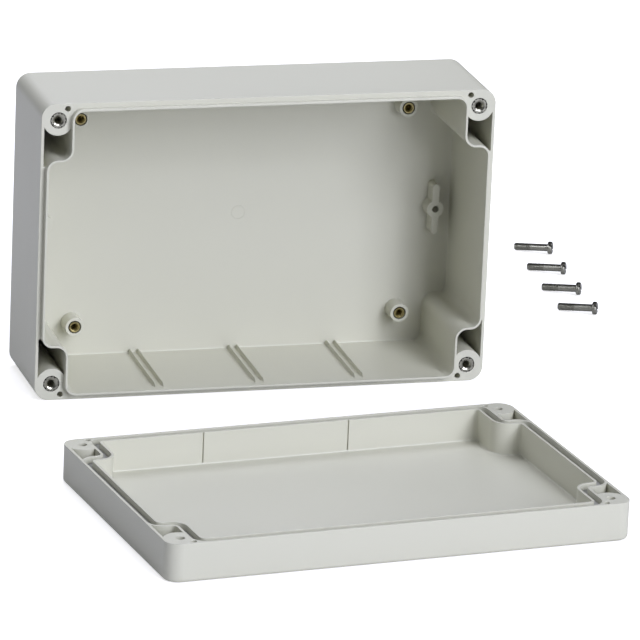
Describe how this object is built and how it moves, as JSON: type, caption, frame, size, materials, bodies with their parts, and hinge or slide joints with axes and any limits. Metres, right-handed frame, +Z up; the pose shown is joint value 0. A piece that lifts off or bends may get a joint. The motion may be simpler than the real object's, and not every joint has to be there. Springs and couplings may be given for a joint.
{
  "type": "plastic project box",
  "caption": "Light grey moulded enclosure, opened: deep base standing on its long side, lid with sealing groove lying inside up in front, and the loose lid screws beside it.",
  "frame": {"origin": "middle of the long side that the base stands on", "axes": "+Z up, +Y from the base's open mouth to its back, +X along the base's width"},
  "size_m": [0.3325, 0.4614, 0.146],
  "materials": {
    "grey_plastic": "satin",
    "seal_foam": "matte",
    "plated_insert": "turned, plated",
    "brass_insert": "turned",
    "screw_steel": "bright"
  },
  "bodies": {
    "root": {"base": "grey_plastic", "lid": "grey_plastic", "lid_gasket": "seal_foam", "corner_insert_1": "plated_insert", "corner_insert_2": "plated_insert", "corner_insert_3": "plated_insert", "corner_insert_4": "plated_insert", "standoff_insert_1": "brass_insert", "standoff_insert_2": "brass_insert", "standoff_insert_3": "brass_insert", "standoff_insert_4": "brass_insert", "lid_screw_1": "screw_steel", "lid_screw_2": "screw_steel", "lid_screw_3": "screw_steel", "lid_screw_4": "screw_steel"}
  },
  "joints": []
}
